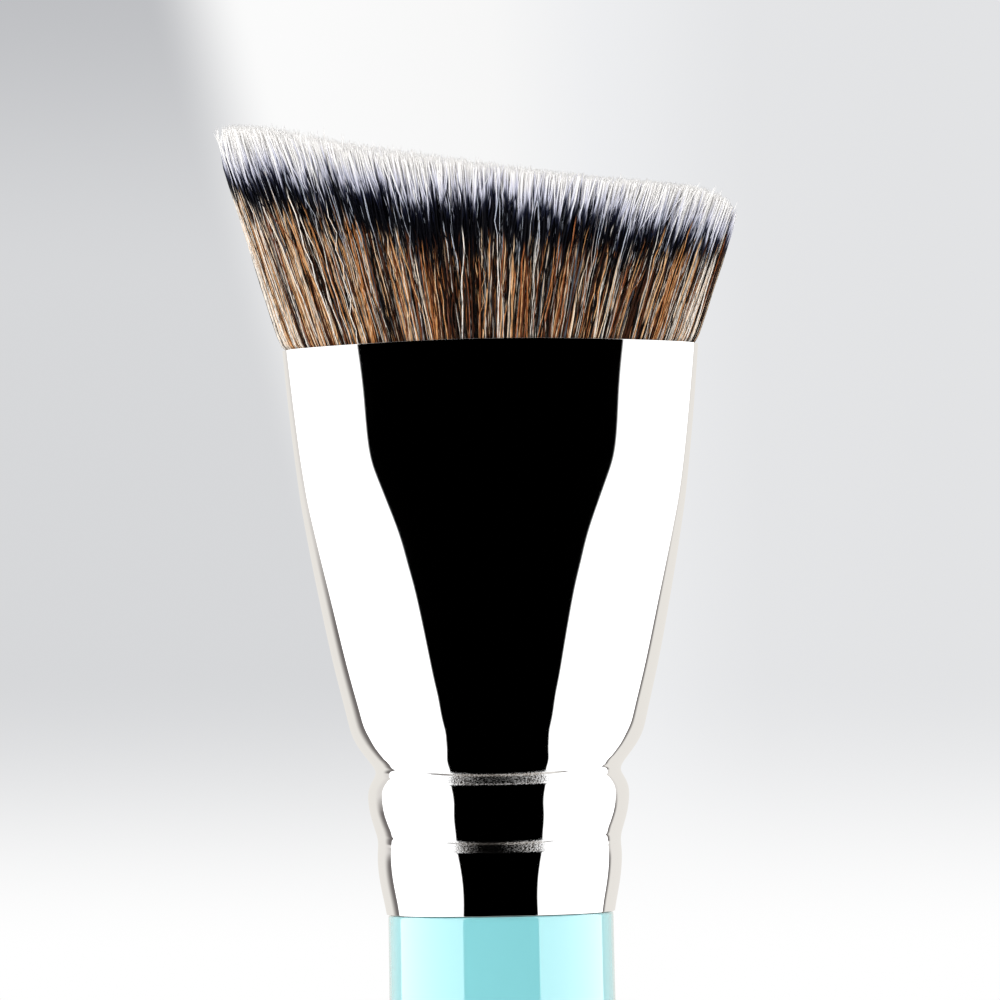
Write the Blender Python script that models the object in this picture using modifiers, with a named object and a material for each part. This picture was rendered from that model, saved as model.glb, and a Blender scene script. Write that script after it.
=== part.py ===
"""Contour brush for face make-up, at its real size.

A turned, lacquered wooden handle carries a plated metal ferrule. The ferrule is round where it
grips the handle and is pressed flat at its mouth. The hair stands in cast resin inside the
ferrule, and its end is cut at a slant.

Metres, +Z up. The brush stands on the flat end of its handle with its head up. The head's width
runs along X, and its front faces -Y.
"""

import math
import random

import bmesh
import bpy
import numpy as np

MM = 0.001

# Gap between pieces that fit together, and how near points are merged.
FIT_CLEARANCE = 0.3 * MM
MERGE_DISTANCE = 0.01 * MM

# Handle, from its flat butt to the step under the ferrule.
HANDLE_LENGTH = 125.2 * MM
HANDLE_NECK_DIAMETER = 13.2 * MM
HANDLE_SWELL_DIAMETER = 13.8 * MM
HANDLE_SWELL_DROP = 28.0 * MM
HANDLE_TAIL_DIAMETER = 8.0 * MM
HANDLE_TAIL_HEIGHT = 5.0 * MM
BUTT_FLAT_DIAMETER = 4.4 * MM

# Tenon, the part of the handle inside the ferrule.
TENON_LENGTH = 13.0 * MM
TENON_DIAMETER = 13.2 * MM
TENON_CHAMFER = 1.0 * MM

# Ferrule, from its drawn-in foot up to its flattened mouth.
FERRULE_HEIGHT = 33.2 * MM
FERRULE_WALL = 0.45 * MM
FERRULE_STEP = 0.1 * MM
FOOT_DRAW_IN = 0.46 * MM
LOWER_CRIMP_HEIGHT = 4.25 * MM
LOWER_CRIMP_DEPTH = 0.14 * MM
CRIMP_SPACING = 4.1 * MM
CRIMP_WIDTH = 0.7 * MM
BULGE_SWELL = 0.5 * MM
UPPER_CRIMP_DEPTH = 0.34 * MM
SHOULDER_RISE = 2.05 * MM
SHOULDER_FLARE = 1.14 * MM
SHOULDER_DEPTH = 15.5 * MM
MOUTH_WIDTH = 24.4 * MM
MOUTH_DEPTH = 10.2 * MM

# Where the foot and the bulge end, as shares of the heights of the crimps beside them, and how
# much of the shoulder's flare comes within the upper crimp's lip.
FOOT_RISE_SHARE = 0.6
BULGE_RISE_SHARE = 0.62
LIP_FLARE_SHARE = 0.3

# From shoulder to mouth: share of the height, share of the widening, share of the flattening.
BLADE_SHARES = (
    (0.07, 0.093, 0.09),
    (0.155, 0.21, 0.17),
    (0.25, 0.335, 0.20),
    (0.35, 0.463, 0.25),
    (0.43, 0.55, 0.335),
    (0.49, 0.614, 0.44),
    (0.55, 0.676, 0.57),
    (0.605, 0.729, 0.73),
    (0.66, 0.77, 0.88),
    (0.71, 0.81, 1.0),
    (0.80, 0.87, 1.0),
    (1.0, 1.0, 1.0),
)

# Cast pieces inside the ferrule, stacked on the end of the tenon.
ADHESIVE_THICKNESS = 1.2 * MM
RESIN_PLUG_HEIGHT = 5.1 * MM
RESIN_SLICE_HEIGHT = 3.5 * MM
ROOT_SINK = 1.2 * MM

# Hair, as strands in rows from front to back.
ROW_PITCH = 0.78 * MM
STRAND_PITCH = 0.48 * MM
STRAND_THICKNESS = 0.34 * MM
HAIR_LENGTH_OUT = 11.0 * MM
LENGTH_SCATTER = 0.35 * MM
CORNER_DROP_LOW = 1.3 * MM
CORNER_DROP_HIGH = 0.1 * MM
DOME_DROP = 1.6 * MM
CUT_SLOPE = math.radians(8.4)
SPLAY_HIGH_SIDE = math.radians(21.0)
SPLAY_LOW_SIDE = math.radians(25.5)
SPLAY_DEPTH = math.radians(7.5)
CORNER_SHARPNESS = 8
TAPER_START_SHARE = 0.78
TAPER_THICKNESS_SHARE = 1.1

# How finely round shapes are divided.
TURNED_STEPS = 40
FERRULE_SIDES = 40
BODY_STEPS = 12
BUTT_STEPS = 5
STRAND_SIDES = 3
SHARP_ANGLE = math.radians(40)

# How often a strand's length is stepped towards the cut, and the seed of its scatter.
CUT_ROUNDS = 6
SCATTER_SEED = 11

# Heights along the whole brush, worked out from the sizes above.
FERRULE_FOOT = HANDLE_LENGTH + FIT_CLEARANCE
UPPER_CRIMP_HEIGHT = LOWER_CRIMP_HEIGHT + CRIMP_SPACING
SHOULDER_HEIGHT = UPPER_CRIMP_HEIGHT + SHOULDER_RISE
ADHESIVE_FOOT = TENON_LENGTH + FIT_CLEARANCE
PLUG_FOOT = ADHESIVE_FOOT + ADHESIVE_THICKNESS + FIT_CLEARANCE
SLICE_FOOT = PLUG_FOOT + RESIN_PLUG_HEIGHT + FIT_CLEARANCE
HAIR_SEAT_HEIGHT = SLICE_FOOT + RESIN_SLICE_HEIGHT

LACQUER = ((0.25, 0.68, 0.71, 1.0), 0.12, 0.0)
PLATED_METAL = ((0.86, 0.86, 0.87, 1.0), 0.06, 1.0)
CAST_RESIN = ((0.62, 0.50, 0.26, 1.0), 0.25, 0.0)
ADHESIVE = ((0.80, 0.76, 0.62, 1.0), 0.45, 0.0)
HAIR = ((0.30, 0.17, 0.09, 1.0), 0.55, 0.0)


def clear_scene():
    for thing in list(bpy.data.objects):
        bpy.data.objects.remove(thing, do_unlink=True)


def new_collection(name):
    made = bpy.data.collections.new(name)
    bpy.context.scene.collection.children.link(made)
    return made


def new_material(name, finish):
    colour, roughness, metallic = finish
    material = bpy.data.materials.new(name)
    material.use_nodes = True
    shader = material.node_tree.nodes["Principled BSDF"]
    shader.inputs["Base Color"].default_value = colour
    shader.inputs["Roughness"].default_value = roughness
    shader.inputs["Metallic"].default_value = metallic
    material.diffuse_color = colour
    return material


def new_object(name, mesh, collection, material=None):
    made = bpy.data.objects.new(name, mesh)
    collection.objects.link(made)
    if material is not None:
        mesh.materials.append(material)
    return made


def turned(name, profile, collection, material):
    """A turned piece. The profile's (radius, height) points run down its outer side."""
    mesh = bpy.data.meshes.new(name)
    points = [(radius, 0.0, height) for radius, height in profile]
    edges = [(i, i + 1) for i in range(len(points) - 1)]
    mesh.from_pydata(points, edges, [])
    made = new_object(name, mesh, collection, material)
    screw = made.modifiers.new("turn", "SCREW")
    screw.steps = TURNED_STEPS
    screw.render_steps = TURNED_STEPS
    screw.use_merge_vertices = True
    screw.merge_threshold = MERGE_DISTANCE
    screw.use_smooth_shade = True
    return made


def oval(half_width, half_depth, height):
    """One level oval ring of points at a height."""
    turns = np.arange(FERRULE_SIDES) * math.tau / FERRULE_SIDES
    level = np.full(FERRULE_SIDES, height)
    return np.stack([half_width * np.cos(turns), half_depth * np.sin(turns), level], axis=1)


def loft(name, rings, capped, collection, material):
    """A skin over rings that run upwards, with its ends closed if it is capped."""
    mesh = bpy.data.meshes.new(name)
    bm = bmesh.new()
    rows = [[bm.verts.new(point) for point in ring] for ring in rings]
    for low, high in zip(rows, rows[1:]):
        for i in range(FERRULE_SIDES):
            j = (i + 1) % FERRULE_SIDES
            bm.faces.new((low[i], low[j], high[j], high[i]))
    if capped:
        bm.faces.new(list(reversed(rows[0])))
        bm.faces.new(rows[-1])
    bm.to_mesh(mesh)
    bm.free()
    mesh.shade_smooth()
    mesh.set_sharp_from_angle(angle=SHARP_ANGLE)
    return new_object(name, mesh, collection, material)


def collar_stations():
    """(height above the foot, half width, half depth) up the round collar to its shoulder."""
    foot = HANDLE_NECK_DIAMETER / 2 + FERRULE_STEP
    collar = foot + FOOT_DRAW_IN
    bulge = collar + BULGE_SWELL
    upper = bulge - UPPER_CRIMP_DEPTH
    shoulder = upper + SHOULDER_FLARE
    lip = CRIMP_WIDTH / 2
    round_part = (
        (0.0, foot),
        (FOOT_RISE_SHARE * LOWER_CRIMP_HEIGHT, collar),
        (LOWER_CRIMP_HEIGHT - lip, collar),
        (LOWER_CRIMP_HEIGHT, collar - LOWER_CRIMP_DEPTH),
        (LOWER_CRIMP_HEIGHT + lip, collar + LOWER_CRIMP_DEPTH),
        (LOWER_CRIMP_HEIGHT + BULGE_RISE_SHARE * CRIMP_SPACING, bulge),
        (UPPER_CRIMP_HEIGHT - lip, (bulge + upper) / 2),
        (UPPER_CRIMP_HEIGHT, upper),
        (UPPER_CRIMP_HEIGHT + lip, upper + SHOULDER_FLARE * LIP_FLARE_SHARE),
    )
    stations = [(height, radius, radius) for height, radius in round_part]
    return stations + [(SHOULDER_HEIGHT, shoulder, SHOULDER_DEPTH / 2)]


def ferrule_stations():
    stations = collar_stations()
    _, shoulder_width, shoulder_depth = stations[-1]
    rise = FERRULE_HEIGHT - SHOULDER_HEIGHT
    for height_share, width_share, depth_share in BLADE_SHARES:
        stations.append(
            (
                SHOULDER_HEIGHT + rise * height_share,
                shoulder_width + (MOUTH_WIDTH / 2 - shoulder_width) * width_share,
                shoulder_depth + (MOUTH_DEPTH / 2 - shoulder_depth) * depth_share,
            )
        )
    return stations


def room_inside(height):
    """Half width and half depth left inside the ferrule for a piece that clears its wall."""
    heights, widths, depths = zip(*ferrule_stations())
    taken = FERRULE_WALL + FIT_CLEARANCE
    return np.interp(height, heights, widths) - taken, np.interp(height, heights, depths) - taken


def body_radius(height):
    """The handle's radius: it grows from the tail to the swell and eases in to the neck."""
    tail, swell, neck = HANDLE_TAIL_DIAMETER / 2, HANDLE_SWELL_DIAMETER / 2, HANDLE_NECK_DIAMETER / 2
    widest = HANDLE_LENGTH - HANDLE_SWELL_DROP
    if height > widest:
        part = (height - widest) / HANDLE_SWELL_DROP
        return neck + (swell - neck) * math.cos(part * math.pi / 2) ** 2
    part = (height - HANDLE_TAIL_HEIGHT) / (widest - HANDLE_TAIL_HEIGHT)
    return tail + (swell - tail) * math.sin(part * math.pi / 2)


def tenon_profile():
    """Down the tenon's side. The crimps of the ferrule bite into it, so it follows them."""
    heights = sorted(h for h, _, _ in collar_stations() if h < TENON_LENGTH - TENON_CHAMFER)
    heights.append(TENON_LENGTH - TENON_CHAMFER)
    side = [(min(TENON_DIAMETER / 2, *room_inside(h)), FERRULE_FOOT + h) for h in heights]
    top_radius = side[-1][0] - TENON_CHAMFER
    top_height = FERRULE_FOOT + TENON_LENGTH
    return [(0.0, top_height), (top_radius, top_height)] + side[::-1]


def handle_profile():
    """From the top of the tenon down the outside of the handle to the middle of its butt."""
    profile = tenon_profile()
    profile.append((profile[-1][0], HANDLE_LENGTH))
    for i in range(BODY_STEPS + 1):
        height = HANDLE_LENGTH + (HANDLE_TAIL_HEIGHT - HANDLE_LENGTH) * i / BODY_STEPS
        profile.append((body_radius(height), height))
    flat, tail = BUTT_FLAT_DIAMETER / 2, HANDLE_TAIL_DIAMETER / 2
    for i in range(1, BUTT_STEPS + 1):
        turn = math.pi / 2 * (1 - i / BUTT_STEPS)
        rise = HANDLE_TAIL_HEIGHT * (1 - math.cos(turn))
        profile.append((flat + (tail - flat) * math.sin(turn), rise))
    profile.append((0.0, 0.0))
    return profile


def make_handle(collection):
    turned("handle", handle_profile(), collection, new_material("lacquer", LACQUER))


def make_ferrule(collection):
    rings = [oval(width, depth, FERRULE_FOOT + height) for height, width, depth in ferrule_stations()]
    metal = new_material("plated_metal", PLATED_METAL)
    ferrule = loft("ferrule", rings, False, collection, metal)
    wall = ferrule.modifiers.new("wall", "SOLIDIFY")
    wall.thickness = FERRULE_WALL
    wall.offset = -1
    wall.use_even_offset = True


def cast_block(name, low, high, finish, collection):
    """A casting that fills the ferrule from one height above its foot to another."""
    between = [h for h, _, _ in ferrule_stations() if low < h < high]
    levels = [low, *between, high]
    rings = [oval(*room_inside(h), FERRULE_FOOT + h) for h in levels]
    loft(name, rings, True, collection, new_material(name, finish))


def make_castings(collection):
    adhesive_top = ADHESIVE_FOOT + ADHESIVE_THICKNESS
    cast_block("tenon_adhesive", ADHESIVE_FOOT, adhesive_top, ADHESIVE, collection)
    cast_block("resin_plug", PLUG_FOOT, PLUG_FOOT + RESIN_PLUG_HEIGHT, CAST_RESIN, collection)


def cut_height(x, y):
    """Height of the slanted cut above the ferrule's mouth, lower at its corners, front and back."""
    splay, corner = (SPLAY_LOW_SIDE, CORNER_DROP_LOW) if x > 0 else (SPLAY_HIGH_SIDE, CORNER_DROP_HIGH)
    reach = MOUTH_WIDTH / 2 + HAIR_LENGTH_OUT * math.tan(splay)
    depth = MOUTH_DEPTH / 2 + HAIR_LENGTH_OUT * math.tan(SPLAY_DEPTH)
    rounding = corner * min(1.0, abs(x) / reach) ** CORNER_SHARPNESS
    return HAIR_LENGTH_OUT - x * math.tan(CUT_SLOPE) - rounding - DOME_DROP * (y / depth) ** 2


def splayed(mouth_x, mouth_y, rise):
    """Where a strand that leaves the mouth at a place has got to, so far above the mouth."""
    width, depth = room_inside(FERRULE_HEIGHT)
    sideways = SPLAY_LOW_SIDE if mouth_x > 0 else SPLAY_HIGH_SIDE
    x = mouth_x + rise * math.tan(sideways) * mouth_x / width
    return x, mouth_y + rise * math.tan(SPLAY_DEPTH) * mouth_y / depth


def strand_length(mouth_x, mouth_y):
    """The rise at which a strand meets the cut, found by stepping towards it."""
    rise = HAIR_LENGTH_OUT
    for _ in range(CUT_ROUNDS):
        rise = cut_height(*splayed(mouth_x, mouth_y, rise))
    return rise


def strand_course(mouth_x, mouth_y, root, scatter):
    """The points of one strand from its root to its tip."""
    rise = strand_length(mouth_x, mouth_y) - scatter
    mouth = FERRULE_FOOT + FERRULE_HEIGHT
    taper = rise * TAPER_START_SHARE
    return (
        (*root, FERRULE_FOOT + HAIR_SEAT_HEIGHT - ROOT_SINK),
        (mouth_x, mouth_y, mouth),
        (*splayed(mouth_x, mouth_y, taper), mouth + taper),
        (*splayed(mouth_x, mouth_y, rise), mouth + rise),
    )


def add_strand(bm, course):
    """A three-sided strand along its course, closed at the root and pointed at the tip."""
    radius = STRAND_THICKNESS / 2
    radii = (radius, radius, radius * TAPER_THICKNESS_SHARE)
    rings = []
    for (x, y, z), size in zip(course, radii):
        turns = [math.tau * i / STRAND_SIDES - math.pi / 2 for i in range(STRAND_SIDES)]
        rings.append([bm.verts.new((x + size * math.cos(t), y + size * math.sin(t), z)) for t in turns])
    tip = bm.verts.new(course[-1])
    bm.faces.new(list(reversed(rings[0])))
    for i in range(STRAND_SIDES):
        j = (i + 1) % STRAND_SIDES
        for low, high in zip(rings, rings[1:]):
            bm.faces.new((low[i], low[j], high[j], high[i]))
        bm.faces.new((rings[-1][i], rings[-1][j], tip))


def root_pitch():
    """The rows' pitch at their roots, where the ferrule is deeper than at its mouth."""
    return ROW_PITCH * room_inside(HAIR_SEAT_HEIGHT)[1] / room_inside(FERRULE_HEIGHT)[1]


def row_places():
    """Row numbers from front to back, each with its depth at the mouth and at the root."""
    room = room_inside(FERRULE_HEIGHT)[1] - STRAND_THICKNESS
    most = int(room / ROW_PITCH)
    return [(i, i * ROW_PITCH, i * root_pitch()) for i in range(-most, most + 1)]


def half_chord(height, offset, thickness):
    """Half the width left inside the ferrule for a row that thick, at an offset from its middle."""
    width, depth = room_inside(height)
    return width * math.sqrt(max(0.0, 1 - ((abs(offset) + thickness / 2) / depth) ** 2)) - thickness / 2


def row_strands(index, mouth_y):
    """Places along the mouth of one row's strands, staggered from one row to the next."""
    reach = half_chord(FERRULE_HEIGHT, mouth_y, STRAND_THICKNESS)
    gaps = int(2 * reach / STRAND_PITCH)
    if gaps % 2 != index % 2:
        gaps -= 1
    return [STRAND_PITCH * (i - gaps / 2) for i in range(gaps + 1)]


def make_hair_row(number, place, collection, helpers, material, draw):
    """One row of strands, fused to its own slice of the cast resin."""
    index, mouth_y, root_y = place
    slice_thickness = root_pitch() - FIT_CLEARANCE
    root_reach = min(
        half_chord(SLICE_FOOT, root_y, slice_thickness),
        half_chord(HAIR_SEAT_HEIGHT, root_y, slice_thickness),
    )
    places = row_strands(index, mouth_y)
    spread = (root_reach - STRAND_THICKNESS) / places[-1]
    bm = bmesh.new()
    for mouth_x in places:
        root = (mouth_x * min(1.0, spread), root_y)
        add_strand(bm, strand_course(mouth_x, mouth_y, root, draw.random() * LENGTH_SCATTER))
    mesh = bpy.data.meshes.new(f"hair_row_{number}_strands")
    bm.to_mesh(mesh)
    bm.free()
    strands = new_object(mesh.name, mesh, helpers)
    strands.hide_render = True
    strands.display_type = "WIRE"
    bm = bmesh.new()
    bmesh.ops.create_cube(bm, size=1)
    size = (2 * root_reach, slice_thickness, RESIN_SLICE_HEIGHT)
    bmesh.ops.scale(bm, vec=size, verts=bm.verts)
    middle = (0.0, root_y, FERRULE_FOOT + (SLICE_FOOT + HAIR_SEAT_HEIGHT) / 2)
    bmesh.ops.translate(bm, vec=middle, verts=bm.verts)
    mesh = bpy.data.meshes.new(f"hair_row_{number}")
    bm.to_mesh(mesh)
    bm.free()
    row = new_object(mesh.name, mesh, collection, material)
    join = row.modifiers.new("strands", "BOOLEAN")
    join.operation = "UNION"
    join.solver = "EXACT"
    join.object = strands
    return len(places)


def make_hair(collection, helpers):
    material = new_material("hair", HAIR)
    draw = random.Random(SCATTER_SEED)
    total = 0
    for number, place in enumerate(row_places(), start=1):
        total += make_hair_row(number, place, collection, helpers, material, draw)
    print("strands of hair:", total)


def main():
    clear_scene()
    brush = new_collection("contour_brush")
    helpers = new_collection("contour_brush_cutters")
    make_handle(brush)
    make_ferrule(brush)
    make_castings(brush)
    make_hair(brush, helpers)


main()
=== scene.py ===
# %% [markdown]
# # A contour brush, made to be photographed
#
# The brush has few pieces: a lacquered handle, a plated ferrule, glue and resin that nobody sees,
# and almost sixteen thousand hairs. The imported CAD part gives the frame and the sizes. This lesson
# makes the finer surfaces that stand for it in a picture, each as a function worked out with numpy.

import math

import bpy
import numpy as np
from mathutils import Matrix, Vector


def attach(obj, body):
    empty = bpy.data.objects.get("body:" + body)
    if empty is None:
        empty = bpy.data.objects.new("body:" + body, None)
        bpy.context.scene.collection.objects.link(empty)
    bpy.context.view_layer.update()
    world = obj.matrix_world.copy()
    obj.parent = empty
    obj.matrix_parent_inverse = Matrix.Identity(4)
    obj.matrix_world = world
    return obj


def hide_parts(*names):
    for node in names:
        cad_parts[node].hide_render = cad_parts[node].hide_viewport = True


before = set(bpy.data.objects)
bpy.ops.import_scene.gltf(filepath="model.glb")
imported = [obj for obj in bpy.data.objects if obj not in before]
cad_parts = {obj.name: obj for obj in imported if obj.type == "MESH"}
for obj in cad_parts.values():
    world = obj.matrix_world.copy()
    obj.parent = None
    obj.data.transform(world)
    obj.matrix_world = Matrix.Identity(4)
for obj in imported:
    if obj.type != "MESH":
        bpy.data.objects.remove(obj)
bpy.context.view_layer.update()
MM = 0.001
BODY = "root"

# %% [markdown]
# ## The camera
#
# The picture is taken from 300 mm away with a long lens. The camera stands a little above the foot
# of the ferrule and is tilted up, so that one looks at the rim from below. It is also rolled by one
# degree, so that the brush leans to the left. It could be placed by eye, but these numbers were
# fitted to the ferrule's four corners, the curve of its foot and the edges of the handle in the
# photograph, so that every size can be measured there.

# %% Camera
CAMERA_PLACE = (0.5 * MM, -300.0 * MM, 136.07 * MM)
CAMERA_PITCH = math.radians(2.601)
CAMERA_YAW = math.radians(-0.018)
CAMERA_ROLL = math.radians(-1.081)
LENS, SENSOR = 183.67, 36.0
CLIP_NEAR, CLIP_FAR = 10 * MM, 50.0


def aim(pitch, yaw, roll):
    """Rotation of a camera that looks along +Y, turned to the right, up, and about its own line."""
    upright = Matrix.Rotation(math.pi / 2, 3, "X")
    turned = Matrix.Rotation(-yaw, 3, "Z") @ upright @ Matrix.Rotation(pitch, 3, "X")
    return turned @ Matrix.Rotation(roll, 3, "Z")


lens = bpy.data.cameras.new("camera")
lens.lens, lens.sensor_width = LENS, SENSOR
lens.clip_start, lens.clip_end = CLIP_NEAR, CLIP_FAR
camera = bpy.data.objects.new("camera", lens)
bpy.context.scene.collection.objects.link(camera)
camera.matrix_world = Matrix.Translation(CAMERA_PLACE) @ aim(
    CAMERA_PITCH, CAMERA_YAW, CAMERA_ROLL
).to_4x4()
bpy.context.scene.camera = camera
bpy.context.scene.view_settings.view_transform = "Standard"
print("camera at", [round(x / MM, 1) for x in CAMERA_PLACE], "mm, lens", LENS, "mm")

# %% [markdown]
# ## Shader maths as plain expressions
#
# A material is a graph of nodes, and wiring one by hand hides the idea behind it. Here a socket is
# wrapped in a small class, so that `1 - mask * 0.5` adds the Math nodes it needs. Everything else
# goes through one method, which takes a node's type, its settings and the values of its sockets.
# Sockets go by their names. Those of Math and Mix nodes share one name, so they go by number.


# %% Wires and benches
MIX_SHARE, MIX_FIRST, MIX_SECOND, MIX_RESULT = 0, 6, 7, 2
NODES_IN_ROW, NODE_WIDTH, NODE_HEIGHT = 12, 180, 220


class Wire:
    """An output socket. Sums written with it add Math nodes to the tree that it belongs to."""

    def __init__(self, bench, socket):
        self.bench, self.socket = bench, socket

    def __add__(self, other):
        return self.bench.maths("ADD", self, other)

    def __sub__(self, other):
        return self.bench.maths("SUBTRACT", self, other)

    def __rsub__(self, other):
        return self.bench.maths("SUBTRACT", other, self)

    def __mul__(self, other):
        return self.bench.maths("MULTIPLY", self, other)

    def __truediv__(self, other):
        return self.bench.maths("DIVIDE", self, other)

    def __gt__(self, other):
        return self.bench.maths("GREATER_THAN", self, other)

    __radd__, __rmul__ = __add__, __mul__


class Bench:
    """The tree of one material or of the world, where its nodes are laid out and wired."""

    def __init__(self, tree):
        self.tree = tree
        tree.nodes.clear()

    def node(self, kind, settings=None, values=None, out=0):
        """Adds a node: first its settings, then what its sockets hold or are wired to."""
        made = self.tree.nodes.new(kind)
        row, column = divmod(len(self.tree.nodes), NODES_IN_ROW)
        made.location = (NODE_WIDTH * column, -NODE_HEIGHT * row)
        settings = dict(settings or {})
        stops = settings.pop("stops", None)
        for key, value in settings.items():
            setattr(made, key, value)
        if stops:
            band = made.color_ramp
            while len(band.elements) < len(stops):
                band.elements.new(1.0)
            for element, (place, colour) in zip(band.elements, stops):
                element.position, element.color = place, (*colour, 1.0)
        for key, value in (values or {}).items():
            if isinstance(value, Wire):
                self.tree.links.new(value.socket, made.inputs[key])
            else:
                made.inputs[key].default_value = value
        return Wire(self, made.outputs[out]) if len(made.outputs) else None

    def maths(self, operation, *terms):
        return self.node("ShaderNodeMath", {"operation": operation}, dict(enumerate(terms)))

    def vector(self, operation, *terms, out=0):
        values = dict(enumerate(terms))
        return self.node("ShaderNodeVectorMath", {"operation": operation}, values, out)

    def step(self, value, low, high):
        """0 below low, 1 above high, and a smooth rise between them."""
        settings = {"interpolation_type": "SMOOTHSTEP", "clamp": True}
        values = {"Value": value, "From Min": low, "From Max": high}
        return self.node("ShaderNodeMapRange", settings, values)

    def mix(self, share, first, second):
        """The first colour at share 0 and the second at share 1."""
        settings = {"data_type": "RGBA", "clamp_factor": True}
        values = {MIX_SHARE: share, MIX_FIRST: first, MIX_SECOND: second}
        return self.node("ShaderNodeMix", settings, values, MIX_RESULT)

    def noise(self, place, scale, detail=2.0, roughness=0.5, along=1.0):
        """Noise from 0 to 1, drawn out along the brush where along is less than 1."""
        if along != 1.0:
            place = self.vector("MULTIPLY", place, (1.0, 1.0, along))
        values = {"Vector": place, "Scale": scale, "Detail": detail, "Roughness": roughness}
        return self.node("ShaderNodeTexNoise", {}, values)

    def attribute(self, name):
        """A number that the mesh carries at each of its points."""
        return self.node("ShaderNodeAttribute", {"attribute_name": name}, out="Fac")

    def place(self):
        """Where a point is in the object's own coordinates, in metres."""
        return self.node("ShaderNodeTexCoord", out="Object")

    def apart(self, vector):
        """The three numbers of a vector."""
        split = self.node("ShaderNodeSeparateXYZ", {}, {"Vector": vector}).socket.node
        return [Wire(self, socket) for socket in split.outputs]

    def bump(self, height, depth):
        """A normal with small hills, where a height of 1 stands for this depth in metres."""
        return self.node("ShaderNodeBump", {}, {"Strength": 1.0, "Distance": depth, "Height": height})

    def principled(self, values):
        return self.node("ShaderNodeBsdfPrincipled", {}, values)

    def surface(self, shader):
        self.node("ShaderNodeOutputMaterial", {}, {"Surface": shader})

    def finish(self, values):
        """Puts one Principled shader with these values on the surface."""
        self.surface(self.principled(values))


def new_finish(name):
    """An empty material and the bench for its nodes."""
    material = bpy.data.materials.new(name)
    material.use_nodes = True
    return material, Bench(material.node_tree)


def grey(value):
    """An opaque grey."""
    return (value, value, value, 1.0)


print("node helpers ready")

# %% [markdown]
# ## The studio
#
# Polished metal shows its surroundings, so the studio is most of its look. A black card stands
# behind the camera and gives the ferrule its black middle. A tall white light box stands on each
# side of it and gets brighter further round. A soft border frames each box, darkest low down, where
# less light reaches it, and pale paper follows. One more light hangs overhead. Glowing planes could
# stand for all this, but they would be in the picture from other sides. So the world works it out
# from the direction of a ray: its turn away from the camera's side, and its height over the
# horizon. The left box is a little nearer, so its border looks wider than the right one's.

# %% World: what the brush reflects
CARD_EDGE = 39.0
BOX_EDGE_LEFT, BOX_EDGE_RIGHT = 125.0, 126.0
FADE_LEFT, FADE_RIGHT = 18.0, 7.0
BOX_FOOT, BOX_TOP = -41.0, 66.0
EDGE_BLUR = 0.4
GLOW_TURN, BORDER_RISE, TOP_RISE = (36.0, 118.0), (-7.0, -1.5), (66.0, 74.0)
FADE_SHARES = (0.2, 1.0)
CARD_LIGHT, TOP_LIGHT = grey(0.0), grey(1.5)
BOX_LIGHT_NEAR, BOX_LIGHT_FAR = grey(1.25), grey(1.9)
BORDER_LOW, BORDER_HIGH = (0.17, 0.155, 0.15, 1.0), (0.72, 0.69, 0.66, 1.0)
PAPER_LIGHT = (0.83, 0.80, 0.755, 1.0)

world = bpy.data.worlds.new("studio")
bpy.context.scene.world = world
world.use_nodes = True
sky = Bench(world.node_tree)
ray_x, ray_y, ray_z = sky.apart(sky.node("ShaderNodeTexCoord", out="Generated"))
turn = sky.maths("DEGREES", sky.maths("ARCTAN2", ray_x, 0 - ray_y))
rise = sky.maths("DEGREES", sky.maths("ARCSINE", ray_z))
aside = sky.maths("ABSOLUTE", turn)
on_right = turn > 0.0
box_edge = BOX_EDGE_LEFT + on_right * (BOX_EDGE_RIGHT - BOX_EDGE_LEFT)
fade = FADE_LEFT + on_right * (FADE_RIGHT - FADE_LEFT)
off_height = sky.maths("MAXIMUM", BOX_FOOT - rise, rise - BOX_TOP)
off_box = sky.maths("MAXIMUM", aside - box_edge, off_height)
past_card = sky.step(aside, CARD_EDGE - EDGE_BLUR, CARD_EDGE + EDGE_BLUR)
box_light = sky.mix(sky.step(aside, *GLOW_TURN), BOX_LIGHT_NEAR, BOX_LIGHT_FAR)
round_about = sky.mix(past_card, CARD_LIGHT, box_light)
border = sky.mix(sky.step(rise, *BORDER_RISE), BORDER_LOW, BORDER_HIGH)
round_about = sky.mix(sky.step(off_box, -EDGE_BLUR, EDGE_BLUR), round_about, border)
round_about = sky.mix(sky.step(off_box / fade, *FADE_SHARES), round_about, PAPER_LIGHT)
round_about = sky.mix(sky.step(rise, *TOP_RISE), round_about, TOP_LIGHT)
print("studio: card to", CARD_EDGE, "degrees, light boxes to", BOX_EDGE_LEFT)

# %% [markdown]
# The card leaves the front of the brush in the dark, so a soft round lamp lights it from there. It
# hangs behind and above the camera, a little to the left, and mirrors don't show it. Its strength
# brings the light on the front to the level at which a colour looks as it is written.

# %% Front lamp
LAMP_PLACE = (-160 * MM, -900 * MM, 430 * MM)
LAMP_WIDTH, LAMP_POWER = 450 * MM, 5.1
LAMP_TARGET = (0.0, 0.0, 140 * MM)

lamp_data = bpy.data.lights.new("front_lamp", "AREA")
lamp_data.shape, lamp_data.size, lamp_data.energy = "DISK", LAMP_WIDTH, LAMP_POWER
lamp = bpy.data.objects.new("front_lamp", lamp_data)
lamp.location = LAMP_PLACE
to_head = Vector(LAMP_TARGET) - lamp.location
lamp.rotation_euler = to_head.to_track_quat("-Z", "Y").to_euler()
lamp.visible_glossy = False
bpy.context.scene.collection.objects.link(lamp)
print("front lamp", round(to_head.length, 2), "m from the head")
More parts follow.
